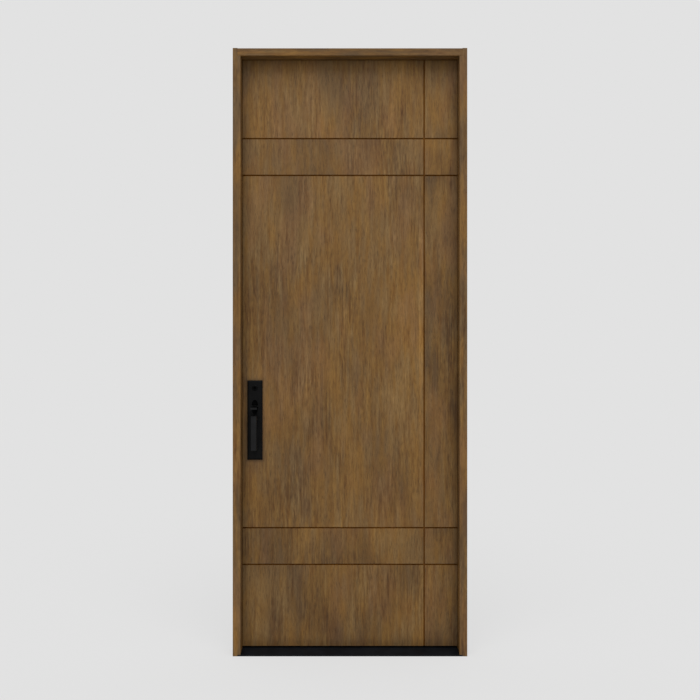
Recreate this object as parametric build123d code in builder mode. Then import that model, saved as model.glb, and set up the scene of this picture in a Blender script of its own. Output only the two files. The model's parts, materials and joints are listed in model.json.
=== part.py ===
from build123d import *
import os
from math import cos, radians, sin, tan

# Entry flush door hung in its wood frame, in millimetres.
# +X points to the hinge side as seen from outside, +Y into the building, +Z up.
# The origin is on the sill's underside, midway across the frame and midway through its depth.

# Frame
FRAME_WIDTH = 952.5
FRAME_HEIGHT = 2470.0
FRAME_DEPTH = 116.0
JAMB_FACE = 31.75
HEAD_FACE = 30.0
HEAD_DROP = 1.0
RABBET = 12.7
EDGE_EASE = 1.5

# Running room round the swinging slab
SWING_GAP = 5.0
SEAL_ROOM = 11.0

# Slab
SLAB_THICKNESS = 44.5
SLAB_BOTTOM = 23.0
SKIN = 7.0
STILE_WIDTH = 60.0
RAIL_HEIGHT = 60.0
LOCK_BEVEL = 3.0
GROOVE_WIDTH = 6.0
GROOVE_DEPTH = 4.5
TOP_PANEL = 331.0
UPPER_BAND = 151.8
LOWER_BAND = 151.4
BOTTOM_PANEL = 336.0
SIDE_PANEL = 146.4
BOTTOM_SEAL_WIDTH = 13.0
BOTTOM_SEAL_HEIGHT = 25.0

# Sill
SILL_LIP = 6.0
DECK_THICKNESS = 2.5
CAP_DEPTH = 48.0
CAP_THICKNESS = 8.0
CAP_STEP = 0.5

# Weatherstrip, held by a barb in a kerf beside the rabbet
STRIP_WIDTH = 14.7
STRIP_ROUND = 2.5
KERF_WIDTH = 3.0
KERF_DEPTH = 8.0

# Screw holes that fix the side jambs to the wall
FIXING_COUNT = 4
FIXING_FROM_END = 200.0
FIXING_RADIUS = 2.25

# Butt hinges
HINGE_COUNT = 4
HINGE_HEIGHT = 101.6
HINGE_FROM_TOP = 228.6
HINGE_FROM_BOTTOM = 330.0
LEAF_WIDTH = 36.0
LEAF_THICKNESS = 3.0
KNUCKLE_COUNT = 5
KNUCKLE_RADIUS = 7.0
KNUCKLE_GAP = 0.4
PIN_SET = 8.0
PIN_RADIUS = 4.0
PIN_CLEARANCE = 0.06
PIN_HEAD_RADIUS = 6.0
PIN_HEAD_HEIGHT = 4.0
PIN_HEAD_ROUND = 2.0

# Handle plates, one on each face
BACKSET = 60.3
PLATE_CENTRE = 955.0
PLATE_WIDTH = 62.6
PLATE_HEIGHT = 326.6
PLATE_THICKNESS = 8.0
PLATE_BEVEL = 5.0
FIT_GAP = 0.2

# Key cylinder and thumbturn
CYLINDER_DROP = 31.0
CYLINDER_RADIUS = 12.0
CYLINDER_PROUD = 3.0
CYLINDER_BEVEL = 0.8
PLUG_RADIUS = 6.5
PLUG_RECESS = 1.5
KEYWAY_WIDTH = 2.6
KEYWAY_HEIGHT = 9.0
KEYWAY_DEPTH = 4.0
ROSE_RADIUS = 15.0
ROSE_THICKNESS = 4.0
TURN_WIDTH = 7.0
TURN_HEIGHT = 32.0
TURN_REACH = 18.0
TURN_BEVEL = 1.5

# Thumb piece in its slot
SLOT_DROP = 74.3
SLOT_WIDTH = 26.0
SLOT_HEIGHT = 44.0
SLOT_ROUND = 2.0
PIVOT_RISE = 12.0
HUB_RADIUS = 3.2
HUB_GAP = 0.3
TRUNNION_RADIUS = 2.0
TRUNNION_DEPTH = 4.0
THUMB_REACH = 65.0
THUMB_THICKNESS = 4.0
THUMB_FALL = 5.0
STEM_WIDTH = 16.0
STEM_LENGTH = 12.0
LIP_WIDTH = 27.0
LIP_HEIGHT = 8.0
LIP_THICKNESS = 6.0
LIP_FLARE = 22.0

# Grip
GRIP_DROP = 144.3
GRIP_LENGTH = 140.0
GRIP_WIDTH = 22.8
GRIP_REACH = 70.0
GRIP_BAR = 12.0
GRIP_POST = 18.0
GRIP_BEVEL = 2.0
FINGER_ROUND = 5.0

# Inside lever
LEVER_LENGTH = 115.0
LEVER_HEIGHT = 20.0
LEVER_THICKNESS = 12.0
LEVER_REACH = 58.0
LEVER_NECK_RADIUS = 9.0
LEVER_BEVEL = 1.5

# Lock in the slab's edge and strike in the jamb
FACEPLATE_WIDTH = 25.4
FACEPLATE_HEIGHT = 203.0
FACEPLATE_THICKNESS = 3.0
BOLT_WIDTH = 13.0
LATCH_HEIGHT = 20.0
DEADBOLT_HEIGHT = 26.0
BOLT_LENGTH = 25.0
STRIKE_WIDTH = 31.75
STRIKE_MARGIN = 16.0
STRIKE_THICKNESS = 2.5
STRIKE_ROOM = 2.0
STRIKE_POCKET = 14.0
LOCK_BLOCK_MARGIN = 20.0

# Planes of the frame
outside_y = -FRAME_DEPTH / 2
inside_y = FRAME_DEPTH / 2
jamb_x = FRAME_WIDTH / 2
stop_x = jamb_x - JAMB_FACE
rabbet_x = stop_x + RABBET
head_top = FRAME_HEIGHT - HEAD_DROP
head_under = head_top - HEAD_FACE
head_rabbet = head_under + RABBET

# Planes of the slab
slab_front = inside_y - SLAB_THICKNESS
slab_middle = inside_y - SLAB_THICKNESS / 2
slab_x = rabbet_x - SWING_GAP
slab_top = head_rabbet - SWING_GAP
front_skin_back = slab_front + SKIN
back_skin_front = inside_y - SKIN
shoulder_y = slab_front - SEAL_ROOM
stile_inner = slab_x - STILE_WIDTH
top_rail_under = slab_top - RAIL_HEIGHT
bottom_rail_top = SLAB_BOTTOM + RAIL_HEIGHT

# Groove centre lines
groove_heights = [
    slab_top - TOP_PANEL,
    slab_top - TOP_PANEL - UPPER_BAND,
    SLAB_BOTTOM + BOTTOM_PANEL + LOWER_BAND,
    SLAB_BOTTOM + BOTTOM_PANEL,
]
groove_x = slab_x - SIDE_PANEL

# Sill levels
cap_front = inside_y - CAP_DEPTH
cap_top = SLAB_BOTTOM - SWING_GAP
cap_under = cap_top - CAP_THICKNESS
deck_back = cap_top - CAP_STEP
strip_depth = SEAL_ROOM - SWING_GAP

# Hinge line
pin_x = (rabbet_x + slab_x) / 2
pin_y = inside_y + PIN_SET
hinge_low = SLAB_BOTTOM + HINGE_FROM_BOTTOM
hinge_high = slab_top - HINGE_FROM_TOP
hinge_step = (hinge_high - hinge_low) / (HINGE_COUNT - 1)
hinge_heights = [hinge_low + hinge_step * i for i in range(HINGE_COUNT)]
knuckle_pitch = HINGE_HEIGHT / KNUCKLE_COUNT

# Handle set levels
handle_x = -slab_x + BACKSET
plate_top = PLATE_CENTRE + PLATE_HEIGHT / 2
plate_front = slab_front - PLATE_THICKNESS
plate_back = inside_y + PLATE_THICKNESS
cylinder_z = plate_top - CYLINDER_DROP
slot_top = plate_top - SLOT_DROP
slot_middle = slot_top - SLOT_HEIGHT / 2
pivot_y = slab_front - PLATE_THICKNESS / 2
pivot_z = slot_top - SLOT_HEIGHT + PIVOT_RISE
grip_top = plate_top - GRIP_DROP
grip_middle = grip_top - GRIP_LENGTH / 2
lever_front = inside_y + LEVER_REACH - LEVER_THICKNESS

# Bolt levels: each bolt's middle height and its own height
bolts = {"latch_bolt": (pivot_z, LATCH_HEIGHT), "deadbolt": (cylinder_z, DEADBOLT_HEIGHT)}
lock_middle = (pivot_z + cylinder_z) / 2
strike_low = pivot_z - LATCH_HEIGHT / 2 - STRIKE_ROOM - STRIKE_MARGIN
strike_high = cylinder_z + DEADBOLT_HEIGHT / 2 + STRIKE_ROOM + STRIKE_MARGIN
lock_block_low = strike_low - LOCK_BLOCK_MARGIN
lock_block_high = strike_high + LOCK_BLOCK_MARGIN

os.makedirs("parts", exist_ok=True)


def save(piece, name):
    """Label a finished piece and write it to its own file."""
    piece.part.label = name
    export_step(piece.part, f"parts/{name}.step")


def block(x_span, y_span, z_span, mode=Mode.ADD):
    """A square-edged block between two positions along each axis, in the part being built."""
    spans = (x_span, y_span, z_span)
    middle = tuple((low + high) / 2 for low, high in spans)
    sides = tuple(abs(high - low) for low, high in spans)
    with Locations(middle):
        Box(*sides, mode=mode)


def lock_edge(y):
    """Where the bevelled lock edge of the slab lies at depth y."""
    return -slab_x + (inside_y - y) * tan(radians(LOCK_BEVEL))


def edge_plane(z):
    """A level plane on the middle of the lock edge, its x pointing out of the edge."""
    out = (-cos(radians(LOCK_BEVEL)), -sin(radians(LOCK_BEVEL)), 0)
    return Plane(origin=(lock_edge(slab_middle), slab_middle, z), x_dir=out, z_dir=(0, 0, 1))


def edge_block(depth, width, z_span, mode=Mode.ADD):
    """A block let into the lock edge, square to it and flush with it."""
    low, high = z_span
    with BuildSketch(edge_plane(low)) as section:
        with Locations((-depth / 2, 0)):
            Rectangle(depth, width)
    extrude(section.sketch, amount=high - low, mode=mode)


def hinge_mortises(x_span):
    """Recesses for the hinge leaves in a hinge-side edge."""
    for height in hinge_heights:
        z_span = (height - HINGE_HEIGHT / 2, height + HINGE_HEIGHT / 2)
        block(x_span, (inside_y - LEAF_WIDTH, inside_y), z_span, Mode.SUBTRACT)


def sill_top(y):
    """Height of the sloping deck at depth y."""
    return SILL_LIP + (deck_back - SILL_LIP) * (y - outside_y) / (cap_front - outside_y)


# Side jambs
def jamb_blank(side):
    """A rabbeted side jamb: its foot coped over the sill, its head housed, kerfed and drilled."""
    with BuildPart() as blank:
        with BuildSketch() as section:
            Polygon(
                (side * jamb_x, outside_y),
                (side * stop_x, outside_y),
                (side * stop_x, shoulder_y),
                (side * rabbet_x, shoulder_y),
                (side * rabbet_x, inside_y),
                (side * jamb_x, inside_y),
            )
            fillet(section.vertices().group_by(Axis.Y)[0], EDGE_EASE)
        extrude(amount=FRAME_HEIGHT)
        stop_span = (side * stop_x, side * rabbet_x)
        block(stop_span, (outside_y, inside_y), (head_under, FRAME_HEIGHT), Mode.SUBTRACT)
        kerf_span = (side * (rabbet_x - KERF_WIDTH), side * rabbet_x)
        block(kerf_span, (shoulder_y - KERF_DEPTH, shoulder_y), (0, head_under), Mode.SUBTRACT)
        with BuildSketch(Plane.YZ.offset(side * stop_x)):
            Polygon(
                (outside_y, 0),
                (cap_front, 0),
                (cap_front, sill_top(cap_front)),
                (outside_y, SILL_LIP),
            )
        extrude(amount=side * RABBET, mode=Mode.SUBTRACT)
        fixing_step = (FRAME_HEIGHT - 2 * FIXING_FROM_END) / (FIXING_COUNT - 1)
        fixing_y = slab_front - SWING_GAP / 2
        with BuildSketch(Plane.YZ.offset(side * rabbet_x)):
            for i in range(FIXING_COUNT):
                with Locations((fixing_y, FIXING_FROM_END + fixing_step * i)):
                    Circle(FIXING_RADIUS)
        extrude(amount=side * (jamb_x - rabbet_x), mode=Mode.SUBTRACT)
    return blank.part


hinge_side = jamb_blank(1)
with BuildPart() as hinge_jamb:
    add(hinge_side)
    hinge_mortises((rabbet_x, rabbet_x + LEAF_THICKNESS))
save(hinge_jamb, "hinge_jamb")

# Strike jamb, glued up end to end from three lengths, the middle one pocketed for the bolts
strike_span = (slab_middle - STRIKE_WIDTH / 2, slab_middle + STRIKE_WIDTH / 2)
window_span = (slab_middle - BOLT_WIDTH / 2 - STRIKE_ROOM, slab_middle + BOLT_WIDTH / 2 + STRIKE_ROOM)
window_heights = [
    (middle - height / 2 - STRIKE_ROOM, middle + height / 2 + STRIKE_ROOM)
    for middle, height in bolts.values()
]
seat = (-rabbet_x, -rabbet_x - STRIKE_THICKNESS)
strike_side = jamb_blank(-1)
strike_lengths = {
    "strike_jamb_lower": (0, lock_block_low),
    "strike_jamb_lock_block": (lock_block_low, lock_block_high),
    "strike_jamb_upper": (lock_block_high, FRAME_HEIGHT),
}
for name, length_span in strike_lengths.items():
    with BuildPart() as strike_length:
        add(strike_side)
        block((-jamb_x, -stop_x), (outside_y, inside_y), length_span, Mode.INTERSECT)
        block(seat, strike_span, (strike_low, strike_high), Mode.SUBTRACT)
        for z_span in window_heights:
            block((-rabbet_x, -rabbet_x - STRIKE_POCKET), window_span, z_span, Mode.SUBTRACT)
    save(strike_length, name)

# Strike plate, flush in the jamb, with a window for each bolt
with BuildPart() as strike_plate:
    block(seat, strike_span, (strike_low, strike_high))
    for z_span in window_heights:
        block(seat, window_span, z_span, Mode.SUBTRACT)
save(strike_plate, "strike_plate")

# Head, housed between the side jambs
with BuildPart() as head_jamb:
    with BuildSketch(Plane.YZ.offset(-rabbet_x)) as head_section:
        Polygon(
            (outside_y, head_under),
            (shoulder_y, head_under),
            (shoulder_y, head_rabbet),
            (inside_y, head_rabbet),
            (inside_y, head_top),
            (outside_y, head_top),
        )
        fillet(head_section.vertices().group_by(Axis.X)[0], EDGE_EASE)
    extrude(amount=2 * rabbet_x)
    kerf_depth_span = (shoulder_y - KERF_DEPTH, shoulder_y)
    kerf_height_span = (head_rabbet - KERF_WIDTH, head_rabbet)
    block((-rabbet_x, rabbet_x), kerf_depth_span, kerf_height_span, Mode.SUBTRACT)
save(head_jamb, "head_jamb")

# Sill: substrate, sloping deck with its front lip, and the riser cap under the slab
nose_back = outside_y + DECK_THICKNESS
with BuildPart() as sill_base:
    with BuildSketch(Plane.YZ.offset(-rabbet_x)):
        Polygon(
            (nose_back, 0),
            (inside_y, 0),
            (inside_y, cap_under),
            (cap_front, cap_under),
            (cap_front, deck_back - DECK_THICKNESS),
            (nose_back, sill_top(nose_back) - DECK_THICKNESS),
        )
    extrude(amount=2 * rabbet_x)
save(sill_base, "sill_base")

with BuildPart() as sill_deck:
    with BuildSketch(Plane.YZ.offset(-rabbet_x)):
        Polygon(
            (outside_y, 0),
            (nose_back, 0),
            (nose_back, sill_top(nose_back) - DECK_THICKNESS),
            (cap_front, deck_back - DECK_THICKNESS),
            (cap_front, deck_back),
            (outside_y, SILL_LIP),
        )
    extrude(amount=2 * rabbet_x)
save(sill_deck, "sill_deck")

with BuildPart() as sill_cap:
    block((-rabbet_x, rabbet_x), (cap_front, inside_y), (cap_under, cap_top))
save(sill_cap, "sill_cap")

# Weatherstrips on the shoulders of the stops
strip_face = shoulder_y + strip_depth
strip_top = head_rabbet - STRIP_WIDTH
for side, name in ((-1, "weatherstrip_strike"), (1, "weatherstrip_hinge")):
    with BuildPart() as weatherstrip:
        with BuildSketch(Plane.XY.offset(cap_top)) as strip_section:
            with Locations((side * (rabbet_x - STRIP_WIDTH / 2), shoulder_y + strip_depth / 2)):
                Rectangle(STRIP_WIDTH, strip_depth)
            fillet(strip_section.vertices().group_by(Axis.Y)[-1], STRIP_ROUND)
        extrude(amount=strip_top - cap_top)
        barb_span = (side * (rabbet_x - KERF_WIDTH), side * rabbet_x)
        block(barb_span, kerf_depth_span, (cap_top, head_under))
    save(weatherstrip, name)

with BuildPart() as weatherstrip_head:
    with BuildSketch(Plane.YZ.offset(-rabbet_x)) as strip_section:
        with Locations((shoulder_y + strip_depth / 2, head_rabbet - STRIP_WIDTH / 2)):
            Rectangle(strip_depth, STRIP_WIDTH)
        fillet(strip_section.vertices().group_by(Axis.X)[-1], STRIP_ROUND)
    extrude(amount=2 * rabbet_x)
    block((-rabbet_x, rabbet_x), kerf_depth_span, kerf_height_span)
save(weatherstrip_head, "weatherstrip_head")


# Slab skins
def face_grooves(y_span):
    """The four cross grooves and the upright one, over the whole face."""
    half = GROOVE_WIDTH / 2
    for height in groove_heights:
        block((-slab_x, slab_x), y_span, (height - half, height + half), Mode.SUBTRACT)
    block((groove_x - half, groove_x + half), y_span, (SLAB_BOTTOM, slab_top), Mode.SUBTRACT)


def slab_sheet(front, back):
    """Full-height sheet of the slab between two depths, cut to the bevelled lock edge."""
    with BuildSketch(Plane.XY.offset(SLAB_BOTTOM)) as section:
        Polygon((lock_edge(front), front), (slab_x, front), (slab_x, back), (lock_edge(back), back))
    extrude(section.sketch, amount=slab_top - SLAB_BOTTOM)


door_leaf_span = (slab_x - LEAF_THICKNESS, slab_x)
with BuildPart() as exterior_face:
    slab_sheet(slab_front, front_skin_back)
    face_grooves((slab_front, slab_front + GROOVE_DEPTH))
    hinge_mortises(door_leaf_span)
save(exterior_face, "exterior_face")

with BuildPart() as interior_face:
    slab_sheet(back_skin_front, inside_y)
    face_grooves((inside_y - GROOVE_DEPTH, inside_y))
    hinge_mortises(door_leaf_span)
save(interior_face, "interior_face")

# Stiles and rails between the skins
core_depth = (front_skin_back, back_skin_front)
slab_height = (SLAB_BOTTOM, slab_top)
with BuildPart() as hinge_stile:
    block((stile_inner, slab_x), core_depth, slab_height)
    hinge_mortises(door_leaf_span)
save(hinge_stile, "hinge_stile")

faceplate_span = (lock_middle - FACEPLATE_HEIGHT / 2, lock_middle + FACEPLATE_HEIGHT / 2)
bolt_spans = {
    name: (middle - height / 2, middle + height / 2) for name, (middle, height) in bolts.items()
}
with BuildPart() as lock_stile:
    with BuildSketch(Plane.XY.offset(SLAB_BOTTOM)):
        Polygon(
            (lock_edge(front_skin_back), front_skin_back),
            (-stile_inner, front_skin_back),
            (-stile_inner, back_skin_front),
            (lock_edge(back_skin_front), back_skin_front),
        )
    extrude(amount=slab_top - SLAB_BOTTOM)
    edge_block(FACEPLATE_THICKNESS, FACEPLATE_WIDTH, faceplate_span, Mode.SUBTRACT)
    for z_span in bolt_spans.values():
        edge_block(BOLT_LENGTH, BOLT_WIDTH, z_span, Mode.SUBTRACT)
save(lock_stile, "lock_stile")

rail_span = (-stile_inner, stile_inner)
with BuildPart() as top_rail:
    block(rail_span, core_depth, (top_rail_under, slab_top))
save(top_rail, "top_rail")

seal_span = (slab_middle - BOTTOM_SEAL_WIDTH / 2, slab_middle + BOTTOM_SEAL_WIDTH / 2)
seal_height = (SLAB_BOTTOM, SLAB_BOTTOM + BOTTOM_SEAL_HEIGHT)
with BuildPart() as bottom_rail:
    block(rail_span, core_depth, (SLAB_BOTTOM, bottom_rail_top))
    block(rail_span, seal_span, seal_height, Mode.SUBTRACT)
save(bottom_rail, "bottom_rail")

with BuildPart() as bottom_seal:
    block(rail_span, seal_span, seal_height)
save(bottom_seal, "bottom_seal")

with BuildPart() as core:
    block(rail_span, core_depth, (bottom_rail_top, top_rail_under))
save(core, "core")

# Lock faceplate and its two bolts, withdrawn flush with the lock edge
with BuildPart() as lock_faceplate:
    edge_block(FACEPLATE_THICKNESS, FACEPLATE_WIDTH, faceplate_span)
    for low, high in bolt_spans.values():
        opening = (low - FIT_GAP, high + FIT_GAP)
        edge_block(FACEPLATE_THICKNESS, BOLT_WIDTH + 2 * FIT_GAP, opening, Mode.SUBTRACT)
save(lock_faceplate, "lock_faceplate")

for name, z_span in bolt_spans.items():
    with BuildPart() as bolt:
        edge_block(BOLT_LENGTH, BOLT_WIDTH, z_span)
    save(bolt, name)


# Hinges
def hinge_leaf(x_span, height, first_knuckle):
    """A flush leaf with every second knuckle of the barrel, bored for the pin."""
    low = height - HINGE_HEIGHT / 2
    with BuildPart() as leaf:
        block(x_span, (inside_y - LEAF_WIDTH, inside_y), (low, low + HINGE_HEIGHT))
        for i in range(first_knuckle, KNUCKLE_COUNT, 2):
            foot = low + i * knuckle_pitch + KNUCKLE_GAP / 2
            length = knuckle_pitch - KNUCKLE_GAP
            block(x_span, (inside_y, pin_y), (foot, foot + length))
            with Locations((pin_x, pin_y, foot + length / 2)):
                Cylinder(KNUCKLE_RADIUS, length)
        with Locations((pin_x, pin_y, height)):
            Cylinder(PIN_RADIUS + PIN_CLEARANCE, HINGE_HEIGHT, mode=Mode.SUBTRACT)
    return leaf


def hinge_pin(height):
    """A pin with a rounded head on the top knuckle and a button under the lowest one."""
    reach = HINGE_HEIGHT - KNUCKLE_GAP
    with BuildPart() as pin:
        with Locations((pin_x, pin_y, height)):
            Cylinder(PIN_RADIUS, reach)
        for end in (-1, 1):
            with Locations((pin_x, pin_y, height + end * (reach + PIN_HEAD_HEIGHT) / 2)):
                Cylinder(PIN_HEAD_RADIUS, PIN_HEAD_HEIGHT)
        rims = pin.edges().filter_by(GeomType.CIRCLE).sort_by(Axis.Z)
        fillet([rims[0], rims[-1]], PIN_HEAD_ROUND)
    return pin


for number, height in enumerate(hinge_heights, start=1):
    jamb_leaf = hinge_leaf((rabbet_x, rabbet_x + LEAF_THICKNESS), height, 0)
    save(jamb_leaf, f"hinge_{number}_jamb_leaf")
    door_leaf = hinge_leaf(door_leaf_span, height, 1)
    save(door_leaf, f"hinge_{number}_door_leaf")
    save(hinge_pin(height), f"hinge_{number}_pin")

# Outside handle plate with the cylinder's hole, the thumb slot and the trunnion bores
outside_face = Plane.XZ.offset(-slab_front)
with BuildPart() as exterior_plate:
    with BuildSketch(outside_face):
        with Locations((handle_x, PLATE_CENTRE)):
            Rectangle(PLATE_WIDTH, PLATE_HEIGHT)
    extrude(amount=PLATE_THICKNESS)
    chamfer(exterior_plate.faces().sort_by(Axis.Y)[0].edges(), PLATE_BEVEL)
    with BuildSketch(outside_face):
        with Locations((handle_x, cylinder_z)):
            Circle(CYLINDER_RADIUS + FIT_GAP)
        with Locations((handle_x, slot_middle)):
            RectangleRounded(SLOT_WIDTH, SLOT_HEIGHT, SLOT_ROUND)
    extrude(amount=PLATE_THICKNESS, mode=Mode.SUBTRACT)
    with BuildSketch(Plane.YZ.offset(handle_x)):
        with Locations((pivot_y, pivot_z)):
            Circle(TRUNNION_RADIUS + PIN_CLEARANCE)
    extrude(amount=SLOT_WIDTH / 2 + TRUNNION_DEPTH, both=True, mode=Mode.SUBTRACT)
save(exterior_plate, "exterior_plate")

with BuildPart() as lock_cylinder:
    with BuildSketch(outside_face):
        with Locations((handle_x, cylinder_z)):
            Circle(CYLINDER_RADIUS)
    extrude(amount=PLATE_THICKNESS + CYLINDER_PROUD)
    cylinder_face = lock_cylinder.faces().sort_by(Axis.Y)[0]
    chamfer(cylinder_face.edges(), CYLINDER_BEVEL)
    with BuildSketch(outside_face.offset(PLATE_THICKNESS + CYLINDER_PROUD)):
        with Locations((handle_x, cylinder_z)):
            Circle(PLUG_RADIUS)
    extrude(amount=-PLUG_RECESS, mode=Mode.SUBTRACT)
    with BuildSketch(outside_face.offset(PLATE_THICKNESS + CYLINDER_PROUD - PLUG_RECESS)):
        with Locations((handle_x, cylinder_z)):
            Rectangle(KEYWAY_WIDTH, KEYWAY_HEIGHT)
    extrude(amount=-KEYWAY_DEPTH, mode=Mode.SUBTRACT)
save(lock_cylinder, "lock_cylinder")

# Grip: a flat bar on two posts
grip_front = slab_front - GRIP_REACH
bar_back = grip_front + GRIP_BAR
finger_depth = plate_front - bar_back
with BuildPart() as grip:
    with BuildSketch(Plane.YZ.offset(handle_x)):
        with Locations(((grip_front + plate_front) / 2, grip_middle)):
            Rectangle(plate_front - grip_front, GRIP_LENGTH)
        with Locations((bar_back + finger_depth / 2 + FINGER_ROUND, grip_middle)):
            RectangleRounded(
                finger_depth + 2 * FINGER_ROUND,
                GRIP_LENGTH - 2 * GRIP_POST,
                FINGER_ROUND,
                mode=Mode.SUBTRACT,
            )
    extrude(amount=GRIP_WIDTH / 2, both=True)
    chamfer(grip.faces().sort_by(Axis.Y)[0].edges(), GRIP_BEVEL)
save(grip, "grip")

# Thumb piece: a flared lever with a turned-down lip, on trunnions in the plate
thumb_tip = slab_front - THUMB_REACH
lip_back = thumb_tip + LIP_THICKNESS
stem_top = pivot_z + THUMB_THICKNESS / 2
fall_slope = THUMB_FALL / (plate_front - thumb_tip)
lip_top = stem_top - THUMB_FALL
lip_under = stem_top - fall_slope * (plate_front - lip_back) - THUMB_THICKNESS
with BuildPart() as thumb_piece:
    with BuildSketch(Plane.YZ.offset(handle_x)):
        Polygon(
            (pivot_y, stem_top),
            (plate_front, stem_top),
            (thumb_tip, lip_top),
            (thumb_tip, lip_top - LIP_HEIGHT),
            (lip_back, lip_top - LIP_HEIGHT),
            (lip_back, lip_under),
            (plate_front, stem_top - THUMB_THICKNESS),
            (pivot_y, stem_top - THUMB_THICKNESS),
        )
    extrude(amount=LIP_WIDTH / 2, both=True)
    with BuildSketch(Plane.XY.offset(lip_top - LIP_HEIGHT)):
        Polygon(
            (handle_x - STEM_WIDTH / 2, pivot_y),
            (handle_x - STEM_WIDTH / 2, plate_front - STEM_LENGTH),
            (handle_x - LIP_WIDTH / 2, thumb_tip + LIP_FLARE),
            (handle_x - LIP_WIDTH / 2, thumb_tip),
            (handle_x + LIP_WIDTH / 2, thumb_tip),
            (handle_x + LIP_WIDTH / 2, thumb_tip + LIP_FLARE),
            (handle_x + STEM_WIDTH / 2, plate_front - STEM_LENGTH),
            (handle_x + STEM_WIDTH / 2, pivot_y),
        )
    extrude(amount=stem_top - lip_top + LIP_HEIGHT, mode=Mode.INTERSECT)
    with BuildSketch(Plane.YZ.offset(handle_x)):
        with Locations((pivot_y, pivot_z)):
            Circle(HUB_RADIUS)
    extrude(amount=SLOT_WIDTH / 2 - HUB_GAP, both=True)
    with BuildSketch(Plane.YZ.offset(handle_x)):
        with Locations((pivot_y, pivot_z)):
            Circle(TRUNNION_RADIUS)
    extrude(amount=SLOT_WIDTH / 2 + TRUNNION_DEPTH - HUB_GAP, both=True)
save(thumb_piece, "thumb_piece")

# Inside handle plate, lever and thumbturn
inside_face = Plane.XZ.offset(-inside_y)
with BuildPart() as interior_plate:
    with BuildSketch(inside_face):
        with Locations((handle_x, PLATE_CENTRE)):
            Rectangle(PLATE_WIDTH, PLATE_HEIGHT)
    extrude(amount=-PLATE_THICKNESS)
    chamfer(interior_plate.faces().sort_by(Axis.Y)[-1].edges(), PLATE_BEVEL)
save(interior_plate, "interior_plate")

with BuildPart() as interior_lever:
    with BuildSketch(inside_face.offset(-PLATE_THICKNESS)):
        with Locations((handle_x, pivot_z)):
            Circle(LEVER_NECK_RADIUS)
    extrude(amount=plate_back - lever_front)
    lever_span = (handle_x - LEVER_HEIGHT / 2, handle_x + LEVER_LENGTH)
    lever_height = (pivot_z - LEVER_HEIGHT / 2, pivot_z + LEVER_HEIGHT / 2)
    block(lever_span, (lever_front, lever_front + LEVER_THICKNESS), lever_height)
    chamfer(interior_lever.faces().sort_by(Axis.Y)[-1].edges(), LEVER_BEVEL)
save(interior_lever, "interior_lever")

with BuildPart() as thumbturn:
    with BuildSketch(inside_face.offset(-PLATE_THICKNESS)):
        with Locations((handle_x, cylinder_z)):
            Circle(ROSE_RADIUS)
    extrude(amount=-ROSE_THICKNESS)
    turn_span = (handle_x - TURN_WIDTH / 2, handle_x + TURN_WIDTH / 2)
    turn_depth = (plate_back, plate_back + TURN_REACH)
    turn_height = (cylinder_z - TURN_HEIGHT / 2, cylinder_z + TURN_HEIGHT / 2)
    block(turn_span, turn_depth, turn_height)
    chamfer(thumbturn.faces().sort_by(Axis.Y)[-1].edges(), TURN_BEVEL)
save(thumbturn, "thumbturn")
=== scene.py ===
"""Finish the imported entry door: eased wood and metal, screws, stained grain, and a plain studio."""

import json
import math

import bmesh
import bpy
from bpy.props import FloatProperty, FloatVectorProperty, IntProperty, PointerProperty
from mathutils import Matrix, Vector


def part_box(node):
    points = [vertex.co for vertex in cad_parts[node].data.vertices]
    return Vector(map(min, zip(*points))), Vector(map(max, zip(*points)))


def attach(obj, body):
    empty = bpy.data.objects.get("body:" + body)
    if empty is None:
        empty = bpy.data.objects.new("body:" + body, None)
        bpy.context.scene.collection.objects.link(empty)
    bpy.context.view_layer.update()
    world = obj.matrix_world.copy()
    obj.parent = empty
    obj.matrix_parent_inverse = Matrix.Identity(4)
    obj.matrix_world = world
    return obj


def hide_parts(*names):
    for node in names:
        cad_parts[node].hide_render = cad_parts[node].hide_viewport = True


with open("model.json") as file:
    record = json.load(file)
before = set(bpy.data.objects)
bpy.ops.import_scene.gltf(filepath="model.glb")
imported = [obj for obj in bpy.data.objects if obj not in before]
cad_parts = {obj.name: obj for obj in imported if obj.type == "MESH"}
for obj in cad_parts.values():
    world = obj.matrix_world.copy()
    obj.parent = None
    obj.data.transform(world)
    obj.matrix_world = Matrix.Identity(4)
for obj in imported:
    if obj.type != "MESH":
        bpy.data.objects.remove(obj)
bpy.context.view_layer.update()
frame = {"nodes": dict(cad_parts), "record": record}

bl_info = {
    "name": "Entry Flush Door",
    "version": (1, 0, 0),
    "blender": (4, 5, 0),
    "location": "View3D > Sidebar > Entry Door",
    "description": "Dresses a prehung entry door: grained slab and frame, sill, hinges and handles",
    "category": "Object",
}

BODY_OF = {
    node: body for body, members in frame["record"]["behaviour"]["bodies"].items() for node in members
}

# Planes of the door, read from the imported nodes
SKIN_LOW, SKIN_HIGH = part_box("exterior_face")
OUTSIDE_FACE = SKIN_LOW.y
INSIDE_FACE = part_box("interior_face")[1].y
STRIKE_LENGTHS = ("strike_jamb_lower", "strike_jamb_lock_block", "strike_jamb_upper")
STRIKE_JOINTS = [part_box("strike_jamb_lock_block")[end].z for end in (0, 1)]

# Grooves as routed in the skins: heights of the level ones, lowest first, the upright one's place, and their
# depth. Their finish starts below their lips, this many roundings deep, and stops short of the skin's rim
GROOVE_HEIGHTS = (0.359, 0.5104, 1.9639, 2.1157)
GROOVE_X = 0.3058
GROOVE_DEPTH = 0.0045
LIP_ROUNDINGS = 1.1
RIM_MARGIN = 0.002

# Steps of the grain from one panel to the next, and what the side panels of the outer rows add to them
PANEL_STEP = (0.731, 0.217, 1.913)
SIDE_STEP = (2.238, 0.714, 3.246)

# Pale streak beside the upright groove: how far off, how much paler, how wide, and where it begins and ends
STREAK_OFFSET = 0.0125
STREAK_GAIN = 0.34
STREAK_FADE = (0.005, 0.011)
STREAK_BEGINS = (1.02, 1.14)
STREAK_ENDS = (1.68, 1.77)

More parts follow.
